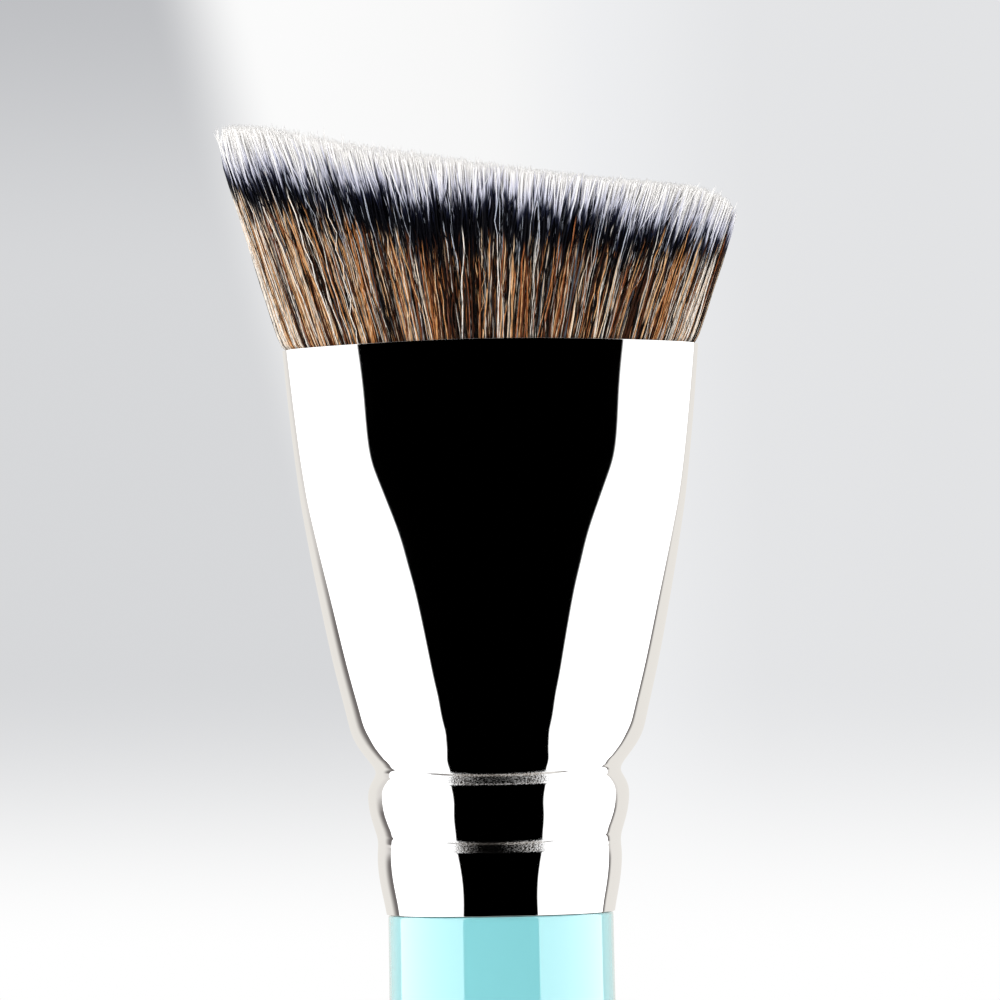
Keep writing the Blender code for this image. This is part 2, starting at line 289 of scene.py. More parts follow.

# %% [markdown]
# A ray from the camera itself sees a pale backdrop instead, with light and shade painted on it. It
# is grey, a little lighter on the right, and turns white towards the ground. A soft pool of light is
# painted on it, as if from above the brush. It has a slanted left edge, and beside it the backdrop's
# upper corner is painted darker, as shade. A curved sheet could stand behind the brush, but the metal
# would mirror it and other sides would show its back.

# %% World: what the camera sees
GREY_LEFT, PAINTED_SHADE_CORNER, WHITE = (0.676, 0.683, 0.698, 1.0), (0.510, 0.517, 0.536, 1.0), grey(1.0)
SIDE_SPAN, SIDE_TINT, TINT_FROM = 6.0, (0.992, 1.0, 1.018), 1.0
SIDE_TONES = ((-2.2, 0.966), (-1.1, 0.948), (0.0, 0.930), (1.1, 0.863), (1.7, 0.838), (2.3, 0.807),
              (2.9, 0.783), (4.8, 0.768))
CORNER_RISE, GROUND_RISE = (4.9, 8.8), (-2.5, 0.75)
LIGHT_EDGE_LEFT, LIGHT_EDGE_RISE, LIGHT_EDGE_SLANT = 3.31, 8.18, 0.27
LIGHT_EDGE_BLUR = (-0.62, 0.55)

sideways = sky.maths("DEGREES", sky.maths("ARCTAN2", ray_x, ray_y))
level = rise - sideways * math.tan(CAMERA_ROLL)
side_stops = [
    ((x + SIDE_SPAN) / (2 * SIDE_SPAN), [tone * t if x > TINT_FROM else tone for t in SIDE_TINT])
    for x, tone in SIDE_TONES
]
side_share = (sideways + SIDE_SPAN) / (2 * SIDE_SPAN)
# Painted light: the lit patch of the backdrop. Painted shade: the darker grey beside it and its
# darker upper corner.
painted_lit_paper = sky.node("ShaderNodeValToRGB", {"stops": side_stops}, {"Fac": side_share})
grey_paper = sky.mix(sky.step(level, *CORNER_RISE), GREY_LEFT, PAINTED_SHADE_CORNER)
from_edge = sideways + LIGHT_EDGE_LEFT - (LIGHT_EDGE_RISE - level) * LIGHT_EDGE_SLANT
paper = sky.mix(sky.step(from_edge, *LIGHT_EDGE_BLUR), grey_paper, painted_lit_paper)
backdrop = sky.mix(sky.step(level, *GROUND_RISE), WHITE, paper)
to_camera = sky.node("ShaderNodeLightPath", out="Is Camera Ray")
seen = sky.mix(to_camera, round_about, backdrop)
sky.node(
    "ShaderNodeOutputWorld", {}, {"Surface": sky.node("ShaderNodeBackground", {}, {"Color": seen})}
)
print("backdrop tones from", PAINTED_SHADE_CORNER[0], "to", WHITE[0])

# %% [markdown]
# The floor is a wide pale sheet. It keeps the brush's shadow, and more than a metre away the camera
# sees the backdrop through it, so that no edge shows between the two. Mirror rays pass through it:
# the metal shows the card and the light boxes right down to the ground, as if they stood on it.

# %% Floor
FLOOR_HALF = 3500 * MM
FLOOR_COLOUR, FLOOR_FADE = grey(0.86), (0.3, 1.2)

floor_mesh = bpy.data.meshes.new("floor")
floor_corners = [(x * FLOOR_HALF, y * FLOOR_HALF, 0) for x, y in ((-1, -1), (1, -1), (1, 1), (-1, 1))]
floor_mesh.from_pydata(floor_corners, [], [(0, 1, 2, 3)])
floor = bpy.data.objects.new("floor", floor_mesh)
bpy.context.scene.collection.objects.link(floor)
floor_finish, bench = new_finish("studio_floor")
camera_ray = bench.node("ShaderNodeLightPath", out="Is Camera Ray")
mirror_ray = bench.node("ShaderNodeLightPath", out="Is Glossy Ray")
far = bench.step(bench.vector("LENGTH", bench.place(), out="Value"), *FLOOR_FADE)
matt = bench.principled({"Base Color": FLOOR_COLOUR, "Roughness": 1.0, "Specular IOR Level": 0.0})
clear = bench.node("ShaderNodeBsdfTransparent")
passes = bench.maths("MAXIMUM", camera_ray * far, mirror_ray)
bench.surface(bench.node("ShaderNodeMixShader", {}, {"Fac": passes, 1: matt, 2: clear}))
floor_mesh.materials.append(floor_finish)
print("floor", 2 * FLOOR_HALF, "m across")

# %% [markdown]
# ## Skins over grids of points
#
# Every new piece here is a grid: rows of points that are joined into a skin. A turned piece is a
# profile carried round an axis, and a pressed tube is a ring that changes shape as it rises. The
# helper joins the rows, closes the ends if asked, and turns the faces outwards. It finds out which
# way they point by adding up the signed volumes under them.


# %% Skins
def add_piece(name, points, corners, sizes, finish, slot):
    """A mesh from arrays: its points, the corners of all faces in turn, and each face's size."""
    starts = np.concatenate([[0], np.cumsum(sizes)[:-1]])
    first = points[corners[starts]]
    volume = 0.0
    for skip in range(1, sizes.max() - 1):
        fits = sizes > skip + 1
        second = points[corners[starts[fits] + skip]]
        third = points[corners[starts[fits] + skip + 1]]
        volume += np.einsum("ij,ij->", first[fits], np.cross(second, third)) / 6
    mesh = bpy.data.meshes.new(name)
    mesh.vertices.add(len(points))
    mesh.vertices.foreach_set("co", points.astype(np.float32).ravel())
    mesh.loops.add(len(corners))
    mesh.loops.foreach_set("vertex_index", corners.astype(np.int32))
    mesh.polygons.add(len(sizes))
    mesh.polygons.foreach_set("loop_start", starts.astype(np.int32))
    mesh.polygons.foreach_set("use_smooth", np.ones(len(sizes), bool))
    mesh.update(calc_edges=True)
    if volume < 0:
        mesh.flip_normals()
    mesh.materials.append(finish)
    piece = bpy.data.objects.new(name, mesh)
    bpy.context.scene.collection.objects.link(piece)
    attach(piece, BODY)
    print(f"{name}: {len(points)} points, {len(sizes)} faces, {abs(volume) / MM**3:.1f} cubic mm")
    return piece


def quads_between(index, looped=False):
    """Four-cornered faces between neighbouring rings of point numbers."""
    upper = np.roll(index, -1, axis=0) if looped else index[1:]
    lower = index if looped else index[:-1]
    faces = np.stack([lower, np.roll(lower, -1, 1), np.roll(upper, -1, 1), upper], axis=-1)
    return faces.reshape(-1, 4)


def fan_over(ring, pole):
    """Three-cornered faces from a ring of point numbers to one point."""
    return np.stack([ring, np.roll(ring, -1), np.full(len(ring), pole)], axis=-1)


def skin(name, grid, finish, slot, looped=False, poles=()):
    """A skin over rows of rings. Looped joins the last ring to the first, and poles are the points
    that close the two ends."""
    rows, columns = grid.shape[:2]
    index = np.arange(rows * columns).reshape(rows, columns)
    quads = quads_between(index, looped)
    corners, sizes, points = [quads.ravel()], [np.full(len(quads), 4)], [grid.reshape(-1, 3)]
    for number, pole in enumerate(poles):
        ring = index[-1] if number else index[0][::-1]
        corners.append(fan_over(ring, index.size + number).ravel())
        sizes.append(np.full(columns, 3))
        points.append(np.array([pole]))
    joined = [np.concatenate(part) for part in (points, corners, sizes)]
    return add_piece(name, *joined, finish, slot)


def carry(piece, name, values):
    """Keeps one number for each point of a piece, for its finish to read."""
    attribute = piece.data.attributes.new(name, "FLOAT", "POINT")
    attribute.data.foreach_set("value", np.ravel(values).astype(np.float32))


def flowing(stations, places):
    """A smooth line through stations: a natural cubic spline.

    Between two stations it is a cubic. Slope and bend run on without a break at every station,
    which a mirror needs, and the bends there come from one set of linear equations."""
    at, value = np.array(stations, float).T
    gap = np.diff(at)
    system = np.diag(np.r_[1, 2 * (gap[:-1] + gap[1:]), 1])
    system += np.diag(np.r_[gap[:-1], 0], -1) + np.diag(np.r_[0, gap[1:]], 1)
    bend = np.linalg.solve(system, np.r_[0, 6 * np.diff(np.diff(value) / gap), 0])
    k = np.clip(np.searchsorted(at, places) - 1, 0, len(gap) - 1)
    left, right, span = places - at[k], at[k + 1] - places, gap[k]
    return (
        (bend[k] * right**3 + bend[k + 1] * left**3) / (6 * span)
        + (value[k] / span - bend[k] * span / 6) * right
        + (value[k + 1] / span - bend[k + 1] * span / 6) * left
    )


def turns_of(sides):
    """Even turns round a circle."""
    return np.arange(sides) * math.tau / sides


def ramp(value, low, high):
    """0 below low, 1 above high, and a smooth rise between them."""
    share = np.clip((value - low) / (high - low), 0, 1)
    return share * share * (3 - 2 * share)


print("skin helpers ready")

# %% [markdown]
# ## The ferrule
#
# A ferrule starts as a drawn tube. Its foot stays round and grips the handle, with two shallow
# grooves rolled into it, and its mouth is pressed flat. So a ring at any height is an oval, and
# three lines give its half width, its half depth and how square it is. The widths are measured on
# the outline in the photograph. The depths are not seen, but the mirror tells them: the edge of the
# black card lies where the surface has turned by 19.5 degrees, so the shape of the black middle
# gives the oval's depth at each height. The wall is even, and drawn out thin at the lip. A few
# cross-sections could be lofted, but a mirror shows every kink, so smooth lines run through all.

# %% Ferrule shape
FERRULE_FOOT = 125.5
FERRULE_HEIGHT = 33.2
WALL, LIP_WALL, LIP_FROM = 0.4, 0.16, 28.0

HALF_WIDTHS = (
    (0.0, 6.69), (0.4, 6.76), (1.3, 6.94), (2.5, 7.12), (3.6, 7.15), (4.3, 7.13), (4.9, 7.27),
    (5.6, 7.48), (6.3, 7.62), (6.9, 7.66), (7.4, 7.58), (7.8, 7.40), (8.24, 7.20), (8.6, 7.30),
    (8.94, 7.54), (9.3, 7.82), (9.8, 8.18), (10.4, 8.50), (11.3, 8.76), (12.2, 8.97),
    (13.9, 9.38), (16.6, 9.96), (18.4, 10.31), (20.7, 10.74), (22.5, 11.05),
    (24.2, 11.32), (25.4, 11.47), (26.5, 11.60), (28.4, 11.81), (30.1, 11.98), (33.2, 12.25),
)
HALF_DEPTHS = (
    (0.0, 6.70), (2.5, 7.08), (4.6, 7.26), (6.0, 7.54), (7.2, 7.60), (8.2, 7.62), (9.2, 7.68),
    (10.2, 7.70), (11.2, 7.84), (12.2, 7.90), (13.2, 7.83), (14.6, 7.80), (16.2, 7.79),
    (18.0, 7.64), (19.6, 7.34), (21.0, 6.99), (22.4, 6.56), (23.8, 6.11), (25.0, 5.76),
    (26.0, 5.54), (26.8, 5.44), (27.8, 5.38), (29.5, 5.32), (31.5, 5.16), (33.2, 4.98),
)
SQUARENESS = (
    (0.0, 2.0), (3.0, 1.98), (4.6, 2.10), (5.6, 2.07), (6.6, 2.01), (7.5, 2.10), (8.6, 2.24),
    (9.3, 2.12), (10.0, 2.0), (10.8, 2.0), (12.0, 2.0), (14.0, 2.01), (18.0, 2.05), (22.0, 2.11),
    (26.0, 2.13), (29.5, 2.07), (33.2, 2.0),
)

# A groove's height at the sides, how much lower it runs at the front, its half height and depth.
# Its walls slope over these heights, and its wear ends over these spans past its flat floor.
GROOVES = ((4.36, 0.45, 0.16, 0.05), (8.36, 0.55, 0.18, 0.085))
GROOVE_EDGE_ABOVE, GROOVE_EDGE_BELOW = 0.20, 0.12
WEAR_ABOVE, WEAR_BELOW = (0.12, 0.36), (0.06, 0.20)
WORN_FRONT = (0.80, 0.96)
RIM_ARCH, ARCH_FROM = 0.18, 27.0


def ferrule_halves(height):
    """Half width and half depth of the ferrule's outside, at heights above its foot in mm."""
    return flowing(HALF_WIDTHS, height), flowing(HALF_DEPTHS, height)


def wall_at(height):
    """The tube's wall in mm: even, and drawn out thinner towards its lip."""
    return WALL - (WALL - LIP_WALL) * ramp(height, LIP_FROM, FERRULE_HEIGHT)


def groove_marks(height, front):
    """Depth in mm of the rolled grooves, and their wear. Front is 0 at the ferrule's sides, where
    the grooves are only the waist of the outline, and 1 in the middle of its front and back."""
    cut = wear = 0.0
    for middle, sag, half, depth in GROOVES:
        off = height - middle + sag * front
        above = ramp(off, half, half + GROOVE_EDGE_ABOVE)
        below = ramp(-off, half, half + GROOVE_EDGE_BELOW)
        cut = cut + depth * front * (1 - above) * (1 - below)
        worn_low, worn_high = 1 - ramp(-off - half, *WEAR_BELOW), 1 - ramp(off - half, *WEAR_ABOVE)
        wear = wear + worn_low * worn_high * ramp(front, *WORN_FRONT)
    return cut, wear


def oval_rings(half_width, half_depth, height, power, sides, cut=0.0):
    """Rings of points. At turn t a ring's x is half_width times cos t, with the size of cos t
    raised to 2 over power, and its y is the same with half_depth and sin t."""
    turns = turns_of(sides)
    across, back = np.cos(turns), np.sin(turns)
    bend = (2 / power)[:, None]
    x = (half_width[:, None] - cut) * np.sign(across) * np.abs(across) ** bend
    y = (half_depth[:, None] - cut) * np.sign(back) * np.abs(back) ** bend
    return np.stack([x, y, np.broadcast_to(height[:, None], x.shape)], axis=-1)


mouth_half_width, mouth_half_depth = ferrule_halves(np.array([FERRULE_HEIGHT]))
print("mouth half sizes in mm:", mouth_half_width.round(2), mouth_half_depth.round(2))

# %% [markdown]
# Nickel-chrome plating is a mirror. It is only dull on the floors of the grooves, where the rolling
# tool has roughened it, and there it sparkles in grey and white specks. Painted shade makes them dark
# near the middle, lighter towards the sides and lighter still all along the upper groove. A painted
# map could show this, but a number at each point of the mesh needs no unwrapping. It is called
# wear and is 1 in the grooves, and fine noise breaks it up.

# %% Ferrule finish
SPECK_SCALE, SHADE_EDGE_SCALE, SMEAR_SCALE = 10500.0, 420.0, 180.0
BETWEEN_GROOVES, DARKEST_PLACE, DARK_REACH, SHADE_EDGE_REACH = (131.0, 132.0), -0.6, (0.4, 2.4), 2.4
LEAST_OUT_OF_SHADE, UPPER_OUT_OF_SHADE = 0.10, 0.45
PAINTED_SHADE_METAL, UNSHADED_GROOVE_METAL = (0.05, 0.045, 0.04, 1.0), (0.42, 0.385, 0.36, 1.0)
WORN_SPAN, GLINT_SPAN = (0.35, 0.97), (0.42, 0.60)
MIRROR, POLISHED, SMEARED, DULLED, SPARKLING = grey(0.95), 0.02, 0.015, 0.20, 0.3
PIT_DEPTH, PIT_LEAST = 0.03 * MM, 0.4

plating, bench = new_finish("nickel_chrome")
place = bench.place()
wear = bench.attribute("wear")
specks = bench.noise(place, SPECK_SCALE, 1.0, along=1.4)
shade_edge_noise = bench.noise(place, SHADE_EDGE_SCALE)
smear = bench.noise(place, SMEAR_SCALE, 3.0, along=0.25)
worn = bench.step(wear, *WORN_SPAN)
across, _, up = bench.apart(place)
# Painted shade: the groove floors are painted dark near the middle, lighter towards the sides and
# along the upper groove, and noise breaks up its edge.
off_middle = bench.maths("ABSOLUTE", across / MM - DARKEST_PLACE) + (shade_edge_noise - 0.5) * SHADE_EDGE_REACH
least = LEAST_OUT_OF_SHADE + bench.step(up / MM, *BETWEEN_GROOVES) * UPPER_OUT_OF_SHADE
out_of_painted_shade = least + bench.step(off_middle, *DARK_REACH) * (1 - least)
glint = bench.step(specks, *GLINT_SPAN) * out_of_painted_shade
dull = bench.mix(out_of_painted_shade, PAINTED_SHADE_METAL, UNSHADED_GROOVE_METAL)
bench.finish(
    {
        "Base Color": bench.mix(worn * (1 - glint), MIRROR, dull),
        "Metallic": 1.0,
        "Roughness": POLISHED + smear * SMEARED + wear * (DULLED + glint * SPARKLING),
        "Normal": bench.bump(specks * worn * (PIT_LEAST + out_of_painted_shade * (1 - PIT_LEAST)), PIT_DEPTH),
    }
)
print("plating ready")

# %% [markdown]
# The tube is one closed skin: up the outside, over the flat lip with its small round edges, down
# the inside and round the foot. The rings sit close together in the grooves and further apart on
# the plain wall, with one more close to each end. The rim arches up a little at the front and back,
# as it does when a round tube with a straight end is pressed flat.

# %% Ferrule
FERRULE_SIDES = 256
EDGE_RADIUS, EDGE_STEPS = 0.012, 5
RING_GAP, GROOVE_RING_GAP, END_RING_GAP = 0.32, 0.055, 0.02
GROOVE_REACH, RULER_MARKS = 1.0, 4000


def dense_heights(low, high, spots, coarse, fine):
    """Heights from low to high, coarse apart, and fine apart near each spot. The rings are counted
    along a ruler, and each takes the height at which the count reaches its number."""
    ruler = np.linspace(low, high, RULER_MARKS)
    near_spot = np.min([np.abs(ruler - spot) for spot in spots], axis=0)
    crowding = 1 / np.where(near_spot < GROOVE_REACH, fine, coarse)
    run = np.concatenate([[0], np.cumsum((crowding[1:] + crowding[:-1]) / 2 * np.diff(ruler))])
    return np.interp(np.linspace(0, run[-1], int(run[-1]) + 1), run, ruler)


def ferrule_grid():
    """Rings of the closed tube and their wear. Each lip is two quarter rounds with a flat between."""
    spots = [middle - sag / 2 for middle, sag, _, _ in GROOVES]
    ends = EDGE_RADIUS, FERRULE_HEIGHT - EDGE_RADIUS
    up = dense_heights(*ends, spots, RING_GAP, GROOVE_RING_GAP)
    up = np.sort(np.r_[up, up[0] + END_RING_GAP, up[-1] - END_RING_GAP])
    turn = np.linspace(0, math.pi / 2, EDGE_STEPS + 1)
    inset_out = EDGE_RADIUS * (1 - np.cos(turn))
    rise = EDGE_RADIUS * np.sin(turn)
    over = FERRULE_HEIGHT - EDGE_RADIUS + np.concatenate([rise[1:], rise[:0:-1]])
    down = np.unique(np.r_[up[0], up[1::2], up[-2:]])[::-1]
    height = np.concatenate([up, over, down, FERRULE_HEIGHT - over])
    edges = [np.r_[inset_out[1:], wall - inset_out[:0:-1]] for wall in (LIP_WALL, WALL)]
    inset = np.concatenate([np.zeros(len(up)), edges[0], wall_at(down), edges[1][::-1]])
    width, depth = ferrule_halves(height)
    front = np.sin(turns_of(FERRULE_SIDES))[None] ** 2
    cut, wear = groove_marks(height[:, None], front)
    outside = (inset < LIP_WALL / 2)[:, None]
    power = flowing(SQUARENESS, height)
    rings = oval_rings(
        width - inset, depth - inset, height + FERRULE_FOOT, power, FERRULE_SIDES, cut
    )
    rings[..., 2] += RIM_ARCH * front**2 * ramp(height, ARCH_FROM, FERRULE_HEIGHT)[:, None]
    return rings * MM, wear * outside


ferrule_rings, ferrule_wear = ferrule_grid()
ferrule = skin("drawn_ferrule", ferrule_rings, plating, "plated_metal", looped=True)
carry(ferrule, "wear", ferrule_wear)
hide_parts("ferrule")

# %% [markdown]
# ## The handle
#
# The handle is turned from wood, dipped in turquoise lacquer and polished. It swells towards the
# hand and ends in a small flat. Its tenon stays bare and goes up into the ferrule, and the grooves
# of the ferrule bite into it. The profile runs from the middle of the butt to the tenon's end. A
# Screw modifier could turn it, but here it is one more grid of rings, closed by the same skin.

# %% Handle shape
HANDLE_LENGTH = 125.2
NECK_RADIUS, SWELL_RADIUS, TAIL_RADIUS, BUTT_RADIUS = 6.6, 6.9, 4.0, 2.2
SWELL_HEIGHT, TAIL_HEIGHT = 97.2, 5.0
TENON_TOP, TENON_CHAMFER, TENON_GAP = 13.0, 1.0, 0.05
BUTT_CENTRE = 0.4
BUTT_STEPS, FACE_STEPS, BODY_STEPS, TENON_STEPS, TOP_SHARES = 25, 6, 170, 60, (1, 0.66, 0.33)
SHOULDER = ((6.592, 125.36), (6.56, 125.43), (6.50, 125.465), (6.40, 125.475), (6.28, 125.475))
HANDLE_SIDES = 160


def body_radius(height):
    """Quarter waves: from the tail out to the swell, and from the swell in to the neck."""
    above = np.clip((height - SWELL_HEIGHT) / (HANDLE_LENGTH - SWELL_HEIGHT), 0, 1)
    below = np.clip((height - TAIL_HEIGHT) / (SWELL_HEIGHT - TAIL_HEIGHT), 0, 1)
    upper = NECK_RADIUS + (SWELL_RADIUS - NECK_RADIUS) * np.cos(above * math.pi / 2) ** 2
    lower = TAIL_RADIUS + (SWELL_RADIUS - TAIL_RADIUS) * np.sin(below * math.pi / 2)
    return np.where(height > SWELL_HEIGHT, upper, lower)


def handle_profile():
    """(radius, height) in mm: butt, body, step, tenon and its chamfered end."""
    turn = np.linspace(0, math.pi / 2, BUTT_STEPS)
    butt_radius = BUTT_RADIUS + (TAIL_RADIUS - BUTT_RADIUS) * np.sin(turn)
    butt = np.stack([butt_radius, TAIL_HEIGHT * (1 - np.cos(turn))], 1)
    face_radius = np.linspace(BUTT_CENTRE, BUTT_RADIUS, FACE_STEPS)[:-1]
    face = np.stack([face_radius, np.zeros(len(face_radius))], 1)
    rise = np.linspace(TAIL_HEIGHT, HANDLE_LENGTH, BODY_STEPS)[1:]
    body = np.stack([body_radius(rise), rise], 1)
    climb = np.linspace(TENON_GAP, TENON_TOP - TENON_CHAMFER, TENON_STEPS)
    bite = groove_marks(climb, 1.0)[0]
    grip = np.minimum(NECK_RADIUS, ferrule_halves(climb)[0] - bite - WALL - TENON_GAP)
    tenon = np.stack([grip, FERRULE_FOOT + climb], 1)
    top_radius = (grip[-1] - TENON_CHAMFER) * np.array(TOP_SHARES)
    top = np.stack([top_radius, np.full(len(TOP_SHARES), FERRULE_FOOT + TENON_TOP)], 1)
    return np.concatenate([face, butt, body, SHOULDER, tenon, top])


def turned_grid(profile, sides):
    """A profile of (radius, height) carried round the Z axis: ovals of power 2 that are circles."""
    radius, height = profile.T
    return oval_rings(radius, radius, height, np.full(len(radius), 2.0), sides) * MM


print("neck", 2 * NECK_RADIUS, "mm, swell", 2 * SWELL_RADIUS, "mm")

# %% [markdown]
# The lacquer is a colour coat under a clear coat, so the shader has a coat over its base colour.
# The photograph's lacquer mirrors the light boxes more strongly than plain varnish would, so the
# coat bends light more than varnish does. A clear coat is never quite flat: a faint bump makes its
# reflections swim a little. Above the step the bare tenon shows, with grain along the handle.

# %% Handle finish
COAT_DEEP, COAT_PALE = (0.242, 0.648, 0.690, 1.0), (0.256, 0.661, 0.703, 1.0)
WOOD_DARK, WOOD_PALE, PORE = (0.56, 0.36, 0.19, 1.0), (0.68, 0.49, 0.29, 1.0), (0.30, 0.17, 0.08, 1.0)
BARE_FROM = (125.462, 125.475)
GRAIN_ALONG, HEART = 0.06, (0.021, 0.008, 0.0)
COAT_BUMP, SWIM_SHARE = 0.02 * MM, 0.06
SWIM_SCALE, TINT_SCALE, RING_SCALE, PORE_SCALE = 260.0, 60.0, 160.0, 3200.0
TINT_SPAN, PORE_SPAN, PORE_SHARE = (0.3, 0.7), (0.52, 0.68), 0.6
GLOSSY, WOOD_ROUGHER = 0.08, 0.55

lacquer, bench = new_finish("turquoise_lacquer")
place = bench.place()
bare = bench.step(bench.apart(place)[2] / MM, *BARE_FROM)
swim = bench.noise(place, SWIM_SCALE, 1.0, along=0.6)
tint = bench.noise(place, TINT_SCALE, along=0.2)
grain_place = bench.vector("MULTIPLY", place, (1.0, 1.0, GRAIN_ALONG))
rings = bench.node(
    "ShaderNodeTexWave",
    {"wave_type": "RINGS", "rings_direction": "Z", "wave_profile": "SAW"},
    {"Vector": bench.vector("ADD", grain_place, HEART), "Scale": RING_SCALE, "Distortion": 3.0},
    out="Fac",
)
pores = bench.step(bench.noise(place, PORE_SCALE, along=GRAIN_ALONG), *PORE_SPAN)
wood = bench.mix(pores * PORE_SHARE, bench.mix(rings, WOOD_DARK, WOOD_PALE), PORE)
coat_colour = bench.mix(bench.step(tint, *TINT_SPAN), COAT_DEEP, COAT_PALE)
bench.finish(
    {
        "Base Color": bench.mix(bare, coat_colour, wood),
        "Roughness": GLOSSY + bare * WOOD_ROUGHER,
        "Specular IOR Level": 1.0,
        "Coat Weight": 1 - bare,
        "Coat IOR": 2.3,
        "Coat Roughness": 0.015,
        "Normal": bench.bump(swim * SWIM_SHARE * (1 - bare) + pores * bare, COAT_BUMP),
    }
)

handle_grid = turned_grid(handle_profile(), HANDLE_SIDES)
handle_ends = ((0.0, 0.0, 0.0), (0.0, 0.0, (FERRULE_FOOT + TENON_TOP) * MM))
handle = skin("turned_handle", handle_grid, lacquer, "lacquered_wood", poles=handle_ends)
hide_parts("handle")

# %% [markdown]
# ## Glue and resin
#
# Inside the ferrule, set glue fills the space over the tenon and a plug of amber resin stands on
# it. Nobody sees them on a whole brush, but they are real pieces, and their CAD shapes are right.
# They keep their meshes and get cast finishes: cloudy glue, and resin with fine bubbles in it.


# %% Cast finishes
CLOUD_SPAN, CLOUD_ROUGHNESS = (0.35, 0.65), 0.15
BUBBLE_SCALE, BUBBLE_SPAN, BUBBLE_SHARE, BUBBLE = 900.0, (0.10, 0.22), 0.5, grey(0.9)
CAST_BUMP = 0.04 * MM


def cast_finish(name, pale, deep, roughness, cloud_scale):
    """A cast material: two tones in soft clouds, a few small bubbles and a slightly uneven skin."""
    material, bench = new_finish(name)
    place = bench.place()
    clouds = bench.step(bench.noise(place, cloud_scale, 4.0, 0.6), *CLOUD_SPAN)
    cells = bench.node("ShaderNodeTexVoronoi", {}, {"Vector": place, "Scale": BUBBLE_SCALE})
    bubbles = 1 - bench.step(cells, *BUBBLE_SPAN)
    bench.finish(
        {
            "Base Color": bench.mix(bubbles * BUBBLE_SHARE, bench.mix(clouds, deep, pale), BUBBLE),
            "Roughness": roughness + clouds * CLOUD_ROUGHNESS,
            "Coat Weight": 0.4,
            "Normal": bench.bump(clouds + bubbles, CAST_BUMP),
        }
    )
    return material


glue = cast_finish("set_glue", (0.86, 0.83, 0.72, 1.0), (0.74, 0.68, 0.52, 1.0), 0.35, 300.0)
resin = cast_finish("cast_resin", (0.66, 0.44, 0.16, 1.0), (0.42, 0.23, 0.06, 1.0), 0.15, 220.0)
for node, finish in (("tenon_adhesive", glue), ("resin_plug", resin)):
    for material_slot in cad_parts[node].material_slots:
        material_slot.material = finish
print("glue and resin finished")

# %% [markdown]
# The upper part of the resin holds the roots of the hair. It is poured in, so it fills the oval
# inside the ferrule and creeps up at the wall and between the hairs. The CAD part has it in eleven
# slices with thick strands on them. One casting takes their place, with room for fine hair.

# %% Root resin
SLICE_FOOT, HAIR_SEAT = 20.2, 23.7
RESIN_GAP, RESIN_SINK, RESIN_CREEP = 0.05, 0.35, 0.08
RESIN_SIDES, RESIN_STEPS, FOOT_STEPS = 96, 14, 8
LAYERS = 11


def room_inside(height):
    """Half width and half depth that the ferrule's inside leaves at a height."""
    width, depth = ferrule_halves(height)
    gap = wall_at(height) + RESIN_GAP
    return width - gap, depth - gap


def root_resin_grid():
    """Rings up the side of the casting, then rings that shrink towards the middle of its top. Its
    top sinks most in the middle, and its edge creeps up and down in two mixed waves."""
    side = np.linspace(SLICE_FOOT, HAIR_SEAT, RESIN_STEPS)
    inward = np.linspace(1, 0, RESIN_STEPS)[1:-1]
    foot_in = np.linspace(0, 1, FOOT_STEPS)[1:-1]
    sink = RESIN_SINK * (1 - inward**6)
    height = np.concatenate([np.full(len(foot_in), SLICE_FOOT), side, HAIR_SEAT - sink])
    share = np.concatenate([foot_in, np.ones(len(side)), inward])
    width, depth = (half * share for half in room_inside(height))
    power = flowing(SQUARENESS, height)
    rings = oval_rings(width, depth, height + FERRULE_FOOT, power, RESIN_SIDES)
    turns = turns_of(RESIN_SIDES)
    creep = RESIN_CREEP * np.sin(17 * turns) * np.sin(5 * turns + 1.0)
    rings[-len(inward) :, :, 2] += creep * (inward**4)[:, None]
    return rings * MM


root_ends = [(0.0, 0.0, (FERRULE_FOOT + z) * MM) for z in (SLICE_FOOT, HAIR_SEAT - RESIN_SINK)]
root_resin = skin("root_resin", root_resin_grid(), resin, "cast_resin", poles=root_ends)
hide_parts(*[f"hair_row_{n}" for n in range(1, LAYERS + 1)])

# %% [markdown]
# ## The hair
#
# The bundle holds thousands of hairs. Each one leaves the resin, is squeezed by the flat mouth and
# then spreads out in a fan. Blender's own hair could grow here, but a part for a library needs
# meshes, and each hair has to end on the slanted cut, so every hair is worked out. First comes
# where it passes the mouth: a staggered lattice over the oval, shaken by less than its own spacing,
# and closer towards the rim and the two ends. Nobody sees into the core, so only a third of its
# hairs are made, and they are thicker.

# %% Where the hairs stand
HAIR_SPACING, SHAKE = 0.089, 0.42
CORE, CORE_SHARE = 0.76, 0.34
RIM_CROWDING, END_CROWDING = 0.08, 0.17
MOUTH_GAP = 0.06
draw = np.random.default_rng(47)

mouth_room = room_inside(np.array([FERRULE_HEIGHT]))
MOUTH_WIDTH, MOUTH_DEPTH = (float(half[0]) - MOUTH_GAP for half in mouth_room)


